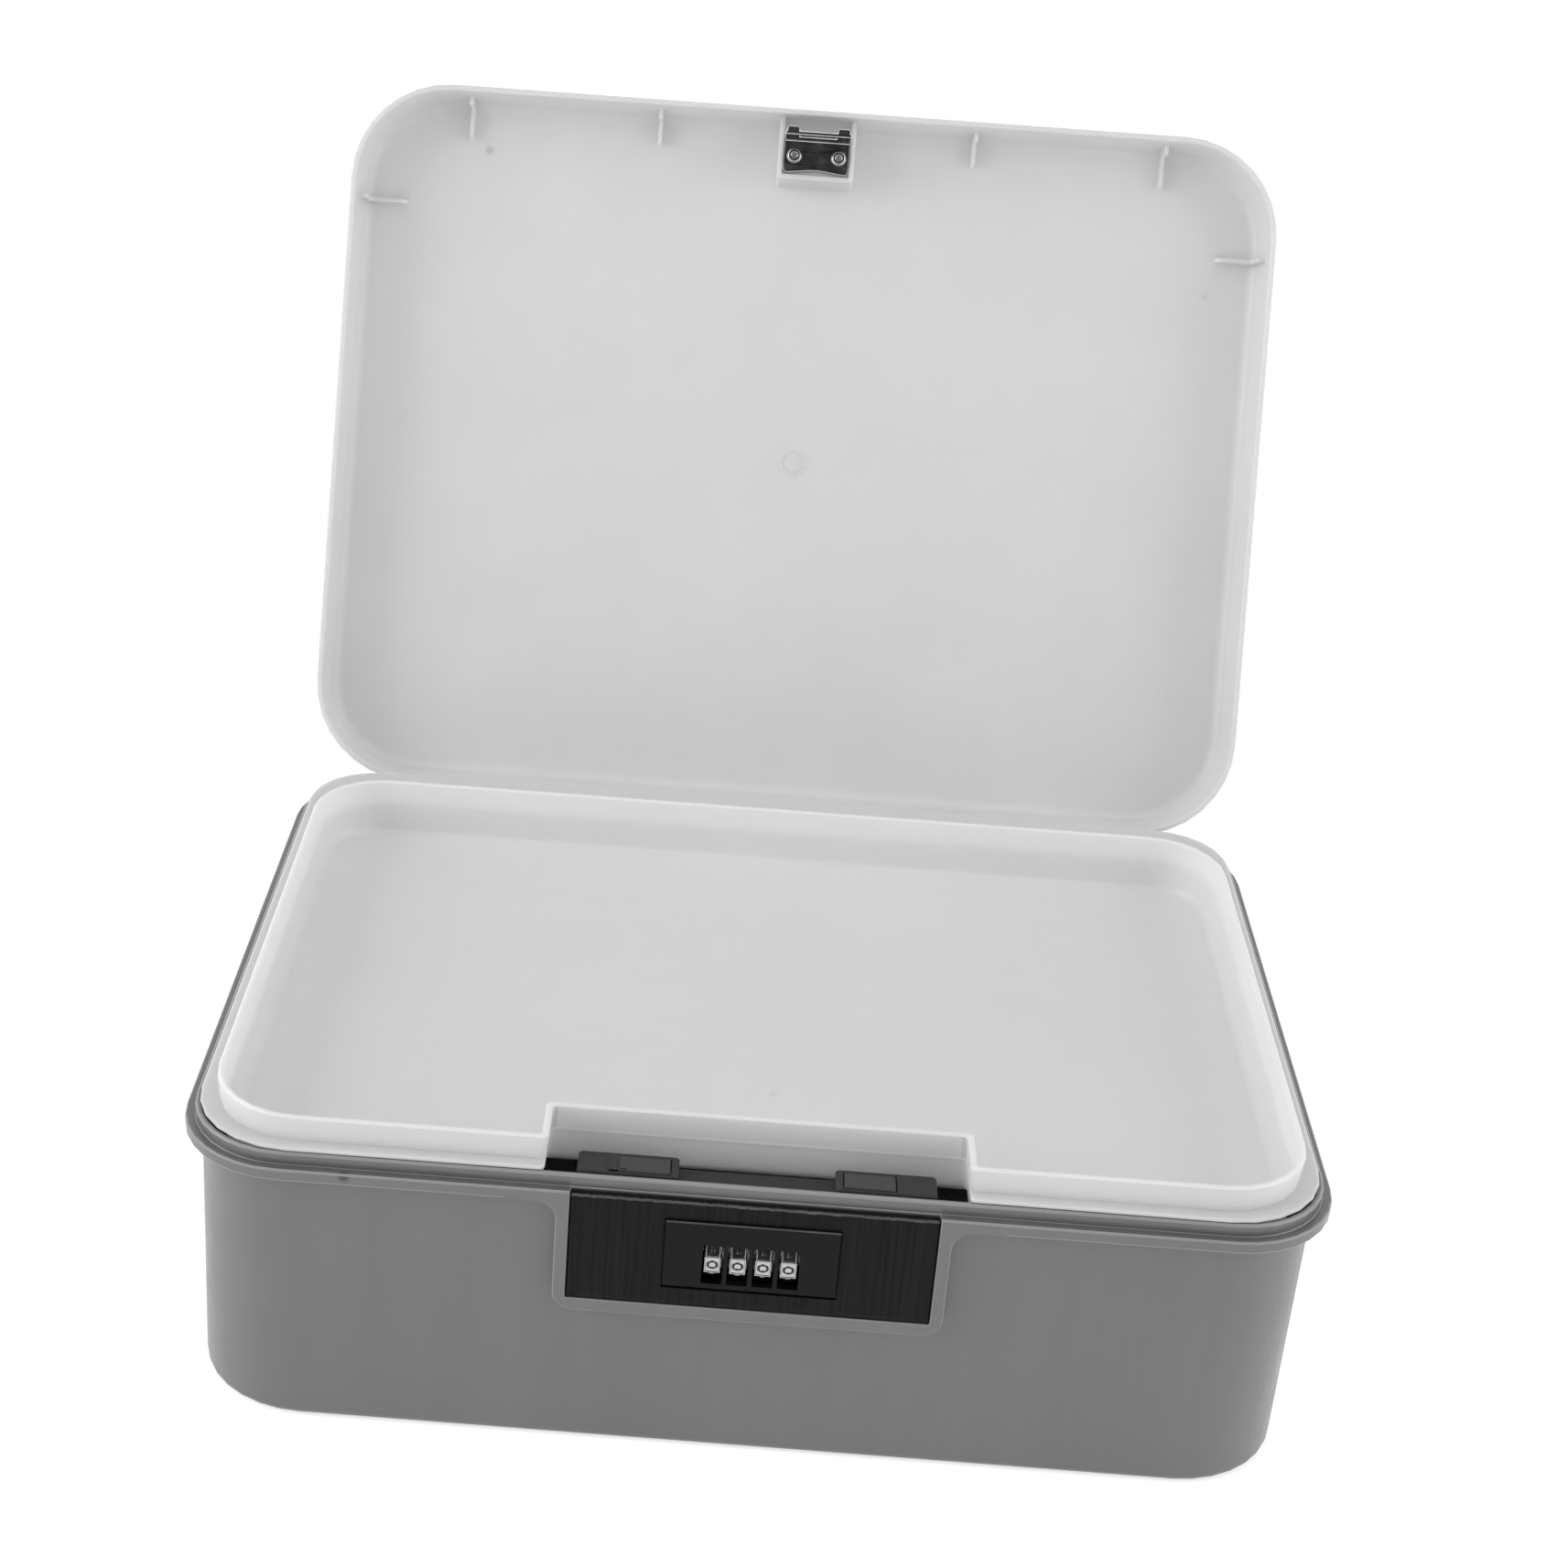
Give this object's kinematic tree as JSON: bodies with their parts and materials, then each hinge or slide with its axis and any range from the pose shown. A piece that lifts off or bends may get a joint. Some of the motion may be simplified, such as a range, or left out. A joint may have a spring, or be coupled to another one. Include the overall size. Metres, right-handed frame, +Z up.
{
  "type": "medication lock box",
  "caption": "Rounded moulded storage box with an open hinged lid, a shallow lift-out tray and a push-to-open number lock in a raised band at the front.",
  "frame": {"origin": "middle of the flat underside, on the box's middle line from left to right and from front to back of the collar", "axes": "+X to the right seen from the front, +Y to the back where the hinge is, +Z up"},
  "size_m": [0.3326, 0.3653, 0.3189],
  "materials": {
    "body_grey": "fine satin texture",
    "tray_white": "milky, slightly translucent",
    "lid_pale": "milky, slightly translucent",
    "plate_black": "fine vertical grooves",
    "button_black": "satin",
    "case_charcoal": "fine texture",
    "inset_charcoal": "fine texture",
    "wheel_chrome": "plated",
    "bright_steel": "bright plated",
    "screw_steel": "plated",
    "hub_steel": "plain",
    "spring_steel": "plain"
  },
  "bodies": {
    "body": {"body_shell": "body_grey", "lock_face_plate": "plate_black", "lock_case": "case_charcoal", "lock_case_cover": "case_charcoal", "case_screw_1": "screw_steel", "case_screw_2": "screw_steel", "case_screw_3": "screw_steel", "case_screw_4": "screw_steel", "wheel_shaft": "hub_steel", "detent_spring": "spring_steel", "button_spring_left": "spring_steel", "button_spring_right": "spring_steel", "hinge_pin_left": "screw_steel", "hinge_pin_right": "screw_steel", "tower_cap": "inset_charcoal"},
    "lid": {"lid_shell": "lid_pale", "strike_plate": "bright_steel", "strike_screw_left": "screw_steel", "strike_screw_right": "screw_steel"},
    "tray": {"inner_tray": "tray_white"},
    "button": {"release_button": "button_black", "latch_bolt": "bright_steel", "fence_bar": "hub_steel"},
    "code_slider": {"code_set_slider": "inset_charcoal"},
    "wheel_1": {"number_wheel_1": "wheel_chrome", "wheel_hub_1": "hub_steel"},
    "wheel_2": {"number_wheel_2": "wheel_chrome", "wheel_hub_2": "hub_steel"},
    "wheel_3": {"number_wheel_3": "wheel_chrome", "wheel_hub_3": "hub_steel"},
    "wheel_4": {"number_wheel_4": "wheel_chrome", "wheel_hub_4": "hub_steel"}
  },
  "joints": [
    {"name": "lid_hinge", "type": "hinge", "parent": "body", "child": "lid", "pos_m": [0, 0.1262, 0.0865], "axis": [1, 0, 0], "range_deg": [0, 112]},
    {"name": "tray_lift", "type": "slide", "parent": "body", "child": "tray", "axis": [0, 0, 1], "range_m": [0, 0.12]},
    {"name": "button_press", "type": "slide", "parent": "body", "child": "button", "axis": [0, 1, 0], "range_m": [0, 0.0025], "stiffness_N_per_m": 800, "springref_m": -0.001, "deforming": ["button_spring_left", "button_spring_right"]},
    {"name": "code_slide", "type": "slide", "parent": "body", "child": "code_slider", "axis": [-1, 0, 0], "range_m": [0, 0.0024]},
    {"name": "wheel_1_turn", "type": "hinge", "parent": "body", "child": "wheel_1", "pos_m": [-0.01073, -0.11523, 0.0676], "axis": [1, 0, 0], "continuous": true},
    {"name": "wheel_2_turn", "type": "hinge", "parent": "body", "child": "wheel_2", "pos_m": [-0.00358, -0.11523, 0.0676], "axis": [1, 0, 0], "continuous": true},
    {"name": "wheel_3_turn", "type": "hinge", "parent": "body", "child": "wheel_3", "pos_m": [0.00358, -0.11523, 0.0676], "axis": [1, 0, 0], "continuous": true},
    {"name": "wheel_4_turn", "type": "hinge", "parent": "body", "child": "wheel_4", "pos_m": [0.01073, -0.11523, 0.0676], "axis": [1, 0, 0], "continuous": true}
  ]
}
